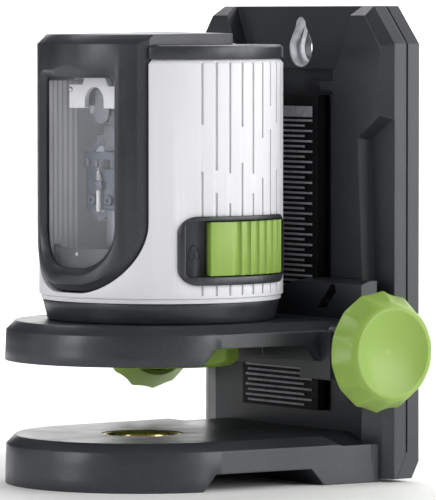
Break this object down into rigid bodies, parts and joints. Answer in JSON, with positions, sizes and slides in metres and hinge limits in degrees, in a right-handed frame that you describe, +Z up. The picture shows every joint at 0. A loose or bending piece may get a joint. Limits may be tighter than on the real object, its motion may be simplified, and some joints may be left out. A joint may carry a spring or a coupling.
{
  "type": "cross line laser level on wall bracket",
  "caption": "Cross line laser level on a height adjustable wall bracket with magnets, keyhole and a threaded foot for a tripod.",
  "frame": {"origin": "axis of the tripod thread, at the underside of the foot", "axes": "+X to the right of someone who faces the bracket, +Y towards the wall, +Z up"},
  "size_m": [0.106, 0.0864, 0.1135],
  "materials": {
    "dark_plastic": "fine textured charcoal",
    "rail_plastic": "satin black",
    "white_plastic": "satin white",
    "green_plastic": "satin lime green",
    "brass": "machined",
    "steel": "zinc plated",
    "magnet": "nickel plated",
    "gear_plastic": "natural acetal",
    "rubber": "matt black",
    "clear_pane": "clear polished",
    "light_plastic": "satin white",
    "zinc": "die cast, satin",
    "module_metal": "blue-grey anodised",
    "lens": "polished",
    "cell_sleeve": "plain printed sleeve",
    "board": "solder mask",
    "lamp": "translucent"
  },
  "bodies": {
    "bracket": {"front_frame": "dark_plastic", "foot": "dark_plastic", "back_cover": "dark_plastic", "hanger_plate": "steel", "back_magnets": "magnet", "rail_screws": "steel", "cover_screws": "steel", "toothed_rail": "rail_plastic", "tripod_insert": "brass"},
    "carriage": {"carriage": "dark_plastic", "guide_hook_right": "dark_plastic", "guide_hook_left": "dark_plastic", "hook_screws": "steel", "shaft_bushes": "gear_plastic", "platform_pad": "rubber"},
    "height_drive": {"height_shaft": "steel", "height_pinion": "gear_plastic", "height_knob_right": "green_plastic", "height_knob_left": "green_plastic", "friction_washers": "rubber"},
    "fixing_screw": {"fixing_knob": "green_plastic", "fixing_stud": "steel"},
    "laser_head": {"white_shell": "white_plastic", "door_pin": "steel", "front_hood": "dark_plastic", "window_pane": "clear_pane", "rear_cap": "dark_plastic", "base_skirt": "dark_plastic", "laser_insert": "brass", "switch_frame": "dark_plastic", "battery_cells": "cell_sleeve", "battery_tray": "light_plastic", "battery_contacts": "steel", "control_board": "board", "status_lamp": "lamp", "gimbal_yoke": "light_plastic", "damping_magnet": "magnet", "magnet_cup": "zinc"},
    "battery_door": {"battery_door": "white_plastic"},
    "mode_button": {"mode_button": "rubber"},
    "lock_slider": {"lock_slider": "green_plastic", "lock_finger": "green_plastic"},
    "gimbal": {"gimbal_ring": "zinc"},
    "pendulum": {"pendulum_frame": "zinc", "cross_laser_module": "module_metal", "cross_laser_lens": "lens", "plumb_laser_module": "module_metal", "plumb_laser_lens": "lens", "pendulum_weight": "zinc"}
  },
  "joints": [
    {"name": "carriage_slide", "type": "slide", "parent": "bracket", "child": "carriage", "axis": [0, 0, 1], "range_m": [-0.012, 0.042]},
    {"name": "height_drive_turn", "type": "hinge", "parent": "carriage", "child": "height_drive", "pos_m": [0, 0.0352, 0.03215], "axis": [1, 0, 0], "range_deg": [-470, 140]},
    {"name": "fixing_screw_turn", "type": "hinge", "parent": "carriage", "child": "fixing_screw", "pos_m": [0, 0.0055, 0.0279], "axis": [0, 0, 1], "continuous": true},
    {"name": "laser_swivel", "type": "hinge", "parent": "carriage", "child": "laser_head", "pos_m": [0, 0.0055, 0.0389], "axis": [0, 0, 1], "continuous": true},
    {"name": "battery_door_hinge", "type": "hinge", "parent": "laser_head", "child": "battery_door", "pos_m": [-0.01991, -0.01349, 0.0723], "axis": [0, 0, 1], "range_deg": [0, 80]},
    {"name": "mode_button_press", "type": "slide", "parent": "laser_head", "child": "mode_button", "axis": [0, 0, -1], "range_m": [0, 0.0006], "stiffness_N_per_m": 400},
    {"name": "lock_slider_move", "type": "hinge", "parent": "laser_head", "child": "lock_slider", "pos_m": [0, 0.0055, 0.0566], "axis": [0, 0, 1], "range_deg": [-10, 0]},
    {"name": "gimbal_pitch", "type": "hinge", "parent": "laser_head", "child": "gimbal", "pos_m": [0.00089, -0.00295, 0.0918], "axis": [0.9945, 0.1045, 0], "range_deg": [-4, 4]},
    {"name": "pendulum_roll", "type": "hinge", "parent": "gimbal", "child": "pendulum", "pos_m": [0.00089, -0.00295, 0.0918], "axis": [-0.1045, 0.9945, 0], "range_deg": [-4, 4]}
  ],
  "couplings": [
    {"joint": "height_drive_turn", "follows": "carriage_slide", "rad_per_m": -193.33}
  ]
}
